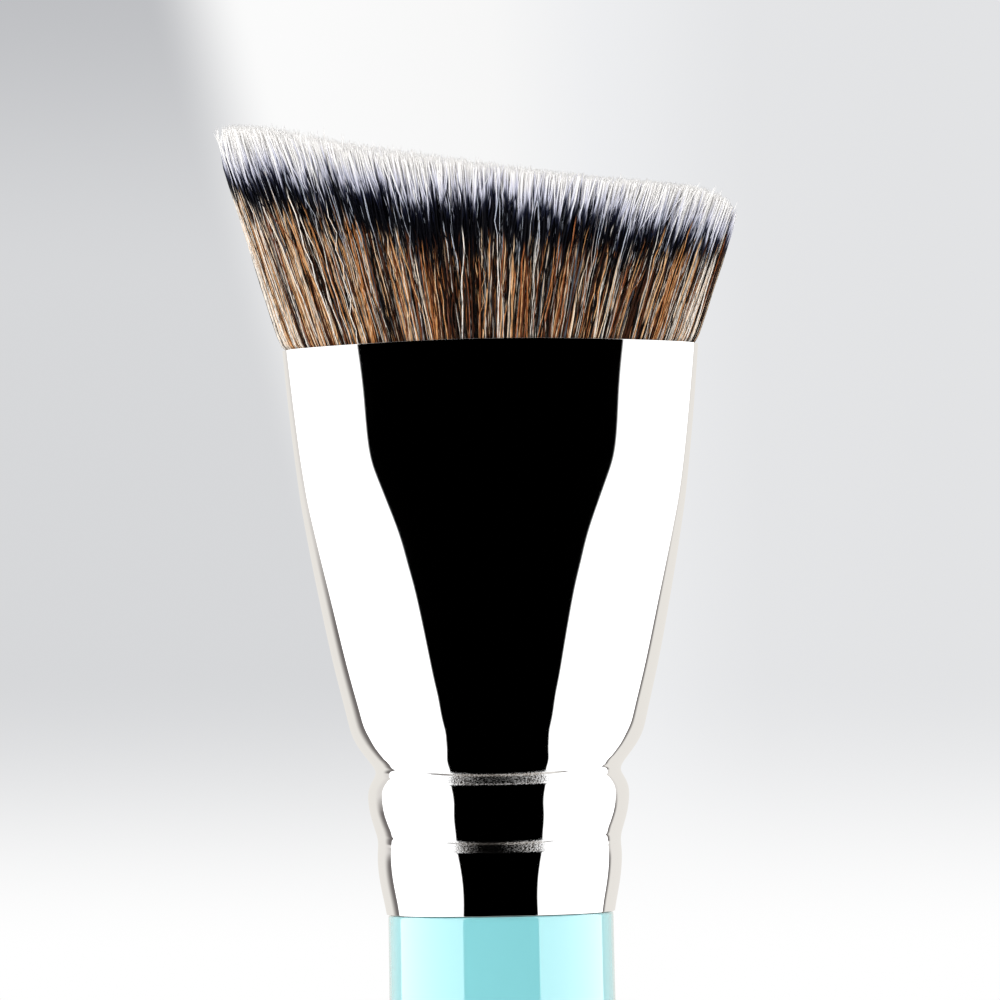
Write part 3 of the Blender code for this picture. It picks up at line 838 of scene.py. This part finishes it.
def stand_hairs():
    """Shares (u, v) of the mouth's half width and half depth, inside its oval: lattice places,
    shaken, with each one's distance from the middle raised to a power a little under 1."""
    line = np.arange(-1, 1, HAIR_SPACING / MOUTH_WIDTH)
    columns = MOUTH_WIDTH * line * (1 + END_CROWDING * (1 - line**2))
    rows = np.arange(-MOUTH_DEPTH, MOUTH_DEPTH, HAIR_SPACING * math.sqrt(3) / 2)
    x, y = np.meshgrid(columns, rows)
    x = x + (np.arange(len(rows)) % 2)[:, None] * HAIR_SPACING / 2
    places = np.stack([x.ravel(), y.ravel()], 1)
    places += draw.uniform(-1, 1, places.shape) * HAIR_SPACING * SHAKE
    shares = places / (MOUTH_WIDTH, MOUTH_DEPTH)
    out = np.hypot(*shares.T)
    kept = (out < 1) & ((out > CORE) | (draw.random(len(out)) < CORE_SHARE))
    return (shares / out[:, None] ** RIM_CROWDING)[kept]


stands = stand_hairs()
print(len(stands), "hairs pass the mouth, which is", round(2 * MOUTH_WIDTH, 1), "mm wide inside")

# %% [markdown]
# Above the mouth a hair at share u leans by a slope of u times (0.32 + 0.022 u), which is steeper
# on the short side, and it also leans a little out of the front or the back. Free of the metal, the
# outermost hairs swell out by a quarter of a millimetre, the ones further in crowd towards the
# ends, and the longest ones curve back in. Each meets the slanted cut, whose corners and edges are
# rounded. A finished bundle could be trimmed with a Boolean, but that breaks open thousands of thin
# tubes. So each hair's length is found first, by trying, moving along and trying again. Two more
# lines tell where the dyes end, and each hair finds its height on them in the same way.

# %% The fan and the cut
FAN_SLOPE, FAN_SKEW, FAN_DEPTH = 0.320, 0.022, 0.145
SWELL, SWELL_RISE, SWELL_SKEW, SWELL_DEPTH = 0.24, 0.25, 0.2, 0.7
CROWDING = 0.014
TUCK, TUCK_FROM = 0.055, 10.0
CUT_LINE = (
    (-18.0, 4.6), (-17.0, 8.4), (-16.4, 10.9), (-15.95, 12.45), (-15.5, 13.05), (-15.0, 13.25),
    (-14.0, 13.24), (-12.0, 12.84), (-9.0, 12.22), (-5.0, 11.56), (0.0, 10.75), (4.0, 10.18),
    (8.0, 9.68), (11.0, 9.34), (12.5, 9.02), (13.4, 8.68), (14.0, 8.34), (14.5, 7.85),
    (15.0, 7.1), (16.0, 5.2), (18.0, 1.0),
)
FRONT_DROP, CUT_REACH_BACK = 0.55, 6.3
FIRST_RISE, MEETING_STEPS, STEP_SHARE = 10.0, 12, 0.6
TIP_FOOT_LINE = (
    (-18.0, 11.1), (-15.0, 10.55), (-13.3, 10.24), (-8.0, 9.30), (-3.0, 8.55), (0.0, 8.18),
    (3.6, 7.76), (7.0, 7.36), (9.4, 7.00), (12.9, 6.20), (15.0, 5.55), (18.0, 4.5),
)
BAND_FOOT_LINE = (
    (-18.0, 9.2), (-15.0, 8.65), (-13.3, 8.20), (-8.0, 6.72), (-3.0, 5.50), (0.0, 5.10),
    (3.6, 4.98), (7.0, 5.02), (9.4, 5.04), (12.9, 4.72), (15.0, 4.5), (18.0, 4.1),
)


def fan(u, v, rise):
    """Where a hair is, in mm across and back, when it has risen so far above the mouth: its share
    of the mouth, plus the rise times its slope, plus the swell at the rim, less the tuck."""
    swell = SWELL * (1 - SWELL_SKEW * u) * (1 - np.exp(-rise / SWELL_RISE))
    crowd = u + u * (1 - u * u) * CROWDING * rise
    across = MOUTH_WIDTH * crowd + rise * crowd * (FAN_SLOPE + FAN_SKEW * crowd) + swell * u**9
    across = across - TUCK * np.clip(rise - TUCK_FROM, 0, None) ** 2 * u**7
    return across, MOUTH_DEPTH * v + rise * FAN_DEPTH * v + SWELL_DEPTH * swell * v**5


def hair_rise(line, front_drop=0.0):
    """How far above the mouth each hair meets a slanted line across, stepping towards it. The line
    is lower towards the front and back, by a square law."""
    rise = np.full(len(stands), FIRST_RISE)
    for _ in range(MEETING_STEPS):
        x, y = fan(*stands.T, rise)
        height = flowing(line, x) - front_drop * (y / CUT_REACH_BACK) ** 2
        rise = (1 - STEP_SHARE) * rise + STEP_SHARE * height
    return rise


rises = hair_rise(CUT_LINE, FRONT_DROP)
tip_feet, band_feet = hair_rise(TIP_FOOT_LINE), hair_rise(BAND_FOOT_LINE)
print("hair stands", round(rises.min(), 1), "to", round(rises.max(), 1), "mm out of the ferrule")

# %% [markdown]
# No two hairs are alike. Each has its own slow wave, shorter kinks that calm down in its white tip,
# a small lean, and a pull towards the tuft it belongs to. One field of noise could bend them all,
# but then neighbours would run side by side, and real hairs cross. A few are strays, thinner and
# further out of line. At the edge of the bundle all this is held back, so that the outline stays
# clean. The white tips are flagged, which means split into finer ends, and look bushy: here they
# are drawn thicker, and narrow only near their points.

# %% Hair courses
IN_RINGS, ROOM_SHARE = (22.6, 26.4, 29.8), 0.985
OUT_SHARES = np.concatenate([[0, 0.02], np.linspace(0.07, 0.92, 12), [0.965, 1]])
HAIR_SIDES = 3
THICKNESS, THICKNESS_SPREAD, CORE_THICKNESS = 0.075, 0.24, 0.125
FLAGGED, FLAG_SPAN, TAPER = 0.62, (-2.5, 2.2), ((0, 1.0), (0.88, 1.0), (0.965, 0.66), (1, 0.5))
STRAYS, STRAY_LEAN, STRAY_THICKNESS = 0.05, 2.4, 0.65
SILVER_FROM, SILVER_THICKNESS = 0.90, 0.68
LENGTH_SPREAD, SHORT_HAIRS = 0.07, 0.03

# The shortest and longest of each kind of wave in mm, its size, and whether it calms in the tip.
WAVES = ((5, 10, 1.0, False), (2.6, 4.6, 0.66, True), (1.6, 2.6, 0.5, True))
CALM, CALM_SPAN = 0.8, (-0.8, 1.4)
# The size of the waves in mm, the spread of the lean, and the seed of the tufts, across and back.
SWAY_ACROSS, SWAY_BACK = (0.10, 0.50, 5), (0.08, 0.28, 7)
FREE_LENGTH, TUFT_PULL, TUFT_PITCH, TUFTLET_PITCH, TUFTLET_SHARE = 10, 0.12, 1.1, 0.5, 0.6
WAVE_HELD, LEAN_HELD_OUT, LEAN_HELD_IN = 0.88, 0.97, 0.45
FIELD_WAVES, FIELD_SPREAD = 14, (0.7, 1.6)


def waves(count, low, high):
    """Random wave lengths, phases and sizes for a number of hairs."""
    return draw.uniform(low, high, count), draw.uniform(0, math.tau, count), draw.normal(0, 1, count)


def soft_field(pitch, seed):
    """A smooth random number for each hair that neighbours share: a sum of slanted waves."""
    source = np.random.default_rng(seed)
    u, v = stands.T
    total = np.zeros(len(u))
    for _ in range(FIELD_WAVES):
        angle, phase = source.uniform(0, math.tau, 2)
        length = pitch * source.uniform(*FIELD_SPREAD)
        run = (u * MOUTH_WIDTH * math.cos(angle) + v * MOUTH_DEPTH * math.sin(angle)) / length
        total += np.sin(math.tau * run + phase)
    return total / math.sqrt(FIELD_WAVES / 2)


def sway(line, side, rise, stray, spread, lean, seed):
    """Bends the hairs along one axis: the sum of their waves, each starting from nothing at the
    mouth and growing with the root of the height, and their lean, growing with the height."""
    free = np.clip(rise / FREE_LENGTH, 0, None)
    calm = 1 - CALM * ramp(rise - tip_feet[:, None], *CALM_SPAN)
    held = np.abs(side) ** 4
    for low, high, size, calmed in WAVES:
        wave_length, phase, amount = waves(len(side), low, high)
        swing = np.sin(math.tau * rise / wave_length[:, None] + phase[:, None])
        swing = (swing - np.sin(phase)[:, None]) * free**0.5 * (calm if calmed else 1)
        amount = amount * stray * (1 - WAVE_HELD * held)
        line = line + spread * size * amount[:, None] * swing
    pull = soft_field(TUFT_PITCH, seed) + TUFTLET_SHARE * soft_field(TUFTLET_PITCH, seed + 1)
    tilt = draw.normal(0, lean, len(side)) * stray + TUFT_PULL * pull
    lean_held = np.where(tilt * side > 0, LEAN_HELD_OUT, LEAN_HELD_IN) * held
    return line + (tilt * (1 - lean_held))[:, None] * free


def hair_courses(own_tone):
    """Points of every hair, hairs by rings by 3 in mm above the ferrule's foot, and its thickness.

    Inside the ferrule a hair keeps its share of the room. Outside, it follows the fan and sways.
    Its thickness grows in the flagged tip and is then cut down by the taper."""
    u, v = stands.T
    count, inside = len(u), np.array(IN_RINGS)
    length = rises - draw.exponential(LENGTH_SPREAD, count)
    length = length - (draw.random(count) < SHORT_HAIRS) * draw.random(count)
    rise = length[:, None] * OUT_SHARES
    stray = np.where(draw.random(count) < STRAYS, STRAY_LEAN, 1.0)
    x, y = fan(u[:, None], v[:, None], rise)
    x = sway(x, u, rise, stray, *SWAY_ACROSS)
    y = sway(y, v, rise, stray, *SWAY_BACK)
    in_x, in_y = (s[:, None] * half * ROOM_SHARE for s, half in zip((u, v), room_inside(inside)))
    under = np.broadcast_to(inside - FERRULE_HEIGHT, in_x.shape)
    above_mouth = np.concatenate([under, rise], 1)
    places = [np.concatenate([in_x, x], 1), np.concatenate([in_y, y], 1)]
    places.append(above_mouth + FERRULE_HEIGHT)
    flagged = 1 + FLAGGED * ramp(rise - tip_feet[:, None], *FLAG_SPAN)
    taper = np.interp(OUT_SHARES, *np.array(TAPER).T)
    thick = np.concatenate([np.ones(in_x.shape), flagged * taper], 1)
    base = np.where(np.hypot(u, v) > CORE, THICKNESS, CORE_THICKNESS)
    base = base * np.where(own_tone > SILVER_FROM, SILVER_THICKNESS, 1.0)
    base = base * np.where(stray > 1, STRAY_THICKNESS, 1.0)
    base = base * np.exp(draw.normal(0, THICKNESS_SPREAD, count))
    return np.stack(places, -1), thick * base[:, None], above_mouth


print(len(WAVES), "kinds of wave, hairs", THICKNESS, "mm thick")

# %% [markdown]
# Each hair gets four numbers for its colour, which the finish reads. A high first one makes it
# silver, which happens more on the short side. The second says how pale its shaft is, and
# neighbours share a part of it. Painted light makes it paler towards the sides of the bundle, more
# on the long side and most at the very ends. The others say where its dark band and its white tip
# begin. Dye wicks further along some hairs than others, so these lines are ragged. One random number
# could serve for all of this, but then the palest hairs would always be the ones with the longest
# tips.

# %% Hair tones
SILVER_SHORT_SIDE, SILVER_LONG_SIDE, SILVER_SHORT_END = 0.05, 0.02, 0.14
SHAFT_MEAN, SHAFT_SPREAD = 0.29, 0.32
PAINTED_LIGHT_SIDES, PAINTED_LIGHT_LONG_SIDE, PAINTED_LIGHT_ENDS, PALE_PATCHES = 0.15, 0.15, 0.22, 0.07
WICKING_SPREAD, TIP_WICKING, BAND_WICKING = 0.5, 0.8, 1.15

across = stands[:, 0]
short_side, long_side = np.clip(across, 0, 1), np.clip(-across, 0, 1)
own_tone = draw.random(len(stands)) + SILVER_SHORT_SIDE * short_side + SILVER_LONG_SIDE * long_side
own_tone += SILVER_SHORT_END * short_side**4
courses, thickness, above_mouth = hair_courses(own_tone)
tone_field = PALE_PATCHES * (soft_field(1.5, 21) + soft_field(0.5, 22))
# Painted light: shafts are painted paler towards the sides of the bundle, more on its long side and
# at its very ends.
painted_side_light = PAINTED_LIGHT_SIDES * np.abs(across) ** 3 + PAINTED_LIGHT_LONG_SIDE * long_side + PAINTED_LIGHT_ENDS * across**12
wicking = 0.35 * soft_field(1.6, 31) + 0.25 * soft_field(0.5, 32)
wicking += draw.normal(0, WICKING_SPREAD, len(stands))
shaft_tone = draw.normal(SHAFT_MEAN, SHAFT_SPREAD, len(stands)) + tone_field + painted_side_light
hair_tones = {
    "own_tone": own_tone,
    "shaft_tone": np.clip(shaft_tone, 0, 1),
    "tip_foot": tip_feet - TIP_WICKING * wicking,
    "band_foot": band_feet - BAND_WICKING * wicking,
}
print("each hair has", courses.shape[1], "rings and", HAIR_SIDES, "sides")

# %% [markdown]
# The hair's finish runs along each hair. From the tip down it is warm white, then a cool lavender
# grey, then nearly black with a blue tinge. Below that band each hair shows its own colour: nearly
# black, chestnut, orange, tan or cream. Fine noise drawn out along the hairs paints darker stretches
# of shade on them, and lighter stretches of highlight on the paler ones. Some hairs are silver, and
# stay pale through the dark band. A painted picture could hold all this, but it would blur on hairs
# this thin, and numbers kept at the points don't.

# %% Hair finish
SHAFT_COLOURS = (
    (0.00, (0.004, 0.003, 0.003)), (0.24, (0.012, 0.008, 0.006)), (0.36, (0.085, 0.025, 0.010)),
    (0.46, (0.28, 0.08, 0.024)), (0.56, (0.54, 0.22, 0.068)), (0.68, (0.72, 0.42, 0.20)),
    (0.82, (0.80, 0.62, 0.44)), (1.00, (0.90, 0.85, 0.79)),
)
SLATE, SHADED, SUNLIT = (0.10, 0.115, 0.14, 1.0), (0.010, 0.007, 0.006, 1.0), (0.96, 0.68, 0.43, 1.0)
SILVER_WARM, SILVER_COOL = (0.74, 0.69, 0.62, 1.0), (0.58, 0.63, 0.74, 1.0)
INK, INK_THIN = (0.0028, 0.0030, 0.0055, 1.0), (0.012, 0.015, 0.036, 1.0)
LAVENDER, WARM_WHITE = (0.59, 0.60, 0.73, 1.0), (0.97, 0.955, 0.94, 1.0)
STREAK_SCALE, STREAK_SHIFT = 9000.0, 0.5
SLATE_FROM, TONE_EDGE, SLATE_SHARE = 0.85, 0.01, 0.8
SHADED_SPAN, SHADED_SHARE = (0.49, 0.74), 0.7
SUNLIT_SPAN, SUNLIT_TONES, SUNLIT_SHARE = (0.02, 0.20), (0.36, 0.6), 0.6
SILVER_TURNS, SILVER_KEEPS = (-1.0, 1.0), 0.8
BAND_EDGE, TIP_EDGE, INK_SPAN, COOL_SPAN = (-0.45, 0.45), (-0.40, 0.40), (-1.0, -0.2), (-0.1, 1.7)

fibre, bench = new_finish("mixed_hair")
rise = bench.attribute("above_mouth")
own = bench.attribute("own_tone")
tone = bench.attribute("shaft_tone")
shaft = bench.node("ShaderNodeValToRGB", {"stops": SHAFT_COLOURS}, {"Fac": tone})
silver = bench.step(own, SILVER_FROM, SILVER_FROM + TONE_EDGE)
slate = bench.step(own, SLATE_FROM, SLATE_FROM + TONE_EDGE) - silver
streak = bench.noise(bench.place(), STREAK_SCALE, along=0.12)
over_foot = rise - bench.attribute("band_foot")
over_band = rise - bench.attribute("tip_foot") - (streak - 0.5) * STREAK_SHIFT
shaft = bench.mix(slate * SLATE_SHARE, shaft, SLATE)
pale = bench.mix(bench.step(over_foot, *SILVER_TURNS), SILVER_WARM, SILVER_COOL)
shaft = bench.mix(silver, shaft, pale)
# Painted shade and painted highlight: the streak noise darkens stretches of the hairs and lights up
# stretches of the paler ones.
shaft = bench.mix(bench.step(streak, *SHADED_SPAN) * SHADED_SHARE, shaft, SHADED)
sunlit = bench.step(0.5 - streak, *SUNLIT_SPAN) * bench.step(tone, *SUNLIT_TONES)
shaft = bench.mix(sunlit * SUNLIT_SHARE, shaft, SUNLIT)
in_band = bench.step(over_foot, *BAND_EDGE) * (1 - silver * SILVER_KEEPS)
ink = bench.mix(bench.step(over_band, *INK_SPAN), INK, INK_THIN)
cool = bench.mix(bench.step(over_band, *COOL_SPAN), LAVENDER, WARM_WHITE)
in_tip = bench.step(over_band, *TIP_EDGE)
colour = bench.mix(in_tip, bench.mix(in_band, shaft, ink), cool)
bench.finish({"Base Color": colour, "Roughness": 0.45, "Specular IOR Level": 0.1})
print("hair finish ready")

# %% [markdown]
# The hairs are cut into eleven layers from front to back, one for each row of the CAD part. A
# hair is a three-sided tube: rings of three points, a closed root and a pointed tip. Curves with a
# bevel could be such tubes, but slowly, and without numbers for the finish. So all the hairs of a
# layer are one mesh, and its faces are worked out for all of them at once. A map of its own gives
# each hair a strip of the layer's baked picture.


# %% Hair layers
LAYER_PITCH = 0.78
STRIP_SLIMNESS, STRIP_SIDE_MARGIN, STRIP_END_MARGIN = 4, 0.08, 0.02


def tube_faces(hairs, rings):
    """Corners and sizes of the faces of many tubes, each with its rings and then one tip point."""
    each = rings * HAIR_SIDES + 1
    index = np.arange(rings * HAIR_SIDES).reshape(rings, HAIR_SIDES)
    quads = quads_between(index)
    triangles = np.concatenate([index[0][None, ::-1], fan_over(index[-1], each - 1)])
    corners = np.r_[quads.ravel(), triangles.ravel()] + np.arange(hairs)[:, None] * each
    sizes = np.tile(np.r_[np.full(len(quads), 4), np.full(len(triangles), 3)], hairs)
    return corners.reshape(-1), sizes


def bake_strips(hairs, rings):
    """A flat place for each hair in the piece's map: a strip, with its root down and its tip up."""
    columns = math.ceil(math.sqrt(hairs * STRIP_SLIMNESS))
    rows = math.ceil(hairs / columns)
    row, column = np.divmod(np.arange(hairs), columns)
    left = (column + STRIP_SIDE_MARGIN) / columns
    right = (column + 1 - STRIP_SIDE_MARGIN) / columns
    foot = (row + STRIP_END_MARGIN) / rows
    rise = np.arange(rings + 1) / rings * (1 - 2 * STRIP_END_MARGIN) / rows
    quad = [(0, 0), (1, 0), (1, 1), (0, 1)]
    walls = np.repeat(np.arange(rings - 1), HAIR_SIDES)
    spots = [(side, ring + up) for ring in walls for side, up in quad]
    spots += [(0, 0), (0.5, 0), (1, 0)]
    spots += [(0, rings - 1), (1, rings - 1), (0.5, rings)] * HAIR_SIDES
    side, ring = np.array(spots).T
    u = left[:, None] + (right - left)[:, None] * side
    v = foot[:, None] + rise[ring.astype(int)]
    return np.stack([u, v], -1).reshape(-1, 2)


def make_layer(number, chosen):
    """One layer of hairs, with the numbers that the finish reads kept at its points."""
    spots, heights = courses[chosen], above_mouth[chosen]
    hairs, rings = spots.shape[0], spots.shape[1] - 1
    start = draw.uniform(0, math.tau, hairs)
    turns = start[:, None] + turns_of(HAIR_SIDES)
    circle = np.stack([np.cos(turns), np.sin(turns), np.zeros_like(turns)], -1)
    radius = thickness[chosen, :rings, None, None] / 2
    tubes = spots[:, :rings, None] + circle[:, None] * radius
    points = np.concatenate([tubes.reshape(hairs, -1, 3), spots[:, -1:]], 1).reshape(-1, 3)
    points[:, 2] += FERRULE_FOOT
    corners, sizes = tube_faces(hairs, rings)
    layer = add_piece(f"hair_layer_{number}", points * MM, corners, sizes, fibre, "hair")
    per_point = rings * HAIR_SIDES + 1
    heights = np.concatenate([np.repeat(heights[:, :rings], HAIR_SIDES, 1), heights[:, -1:]], 1)
    carry(layer, "above_mouth", heights)
    for name, values in hair_tones.items():
        carry(layer, name, np.repeat(values[chosen], per_point))
    strips = layer.data.uv_layers.new(name="OFBake")
    strips.data.foreach_set("uv", bake_strips(hairs, rings).astype(np.float32).ravel())
    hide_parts(f"hair_row_{number}")
    return len(sizes)


half = LAYERS // 2
in_layer = np.clip(np.round(stands[:, 1] * MOUTH_DEPTH / LAYER_PITCH), -half, half) + half + 1
faces = sum(make_layer(n, np.flatnonzero(in_layer == n)) for n in range(1, LAYERS + 1))
print("hair faces in all:", faces)
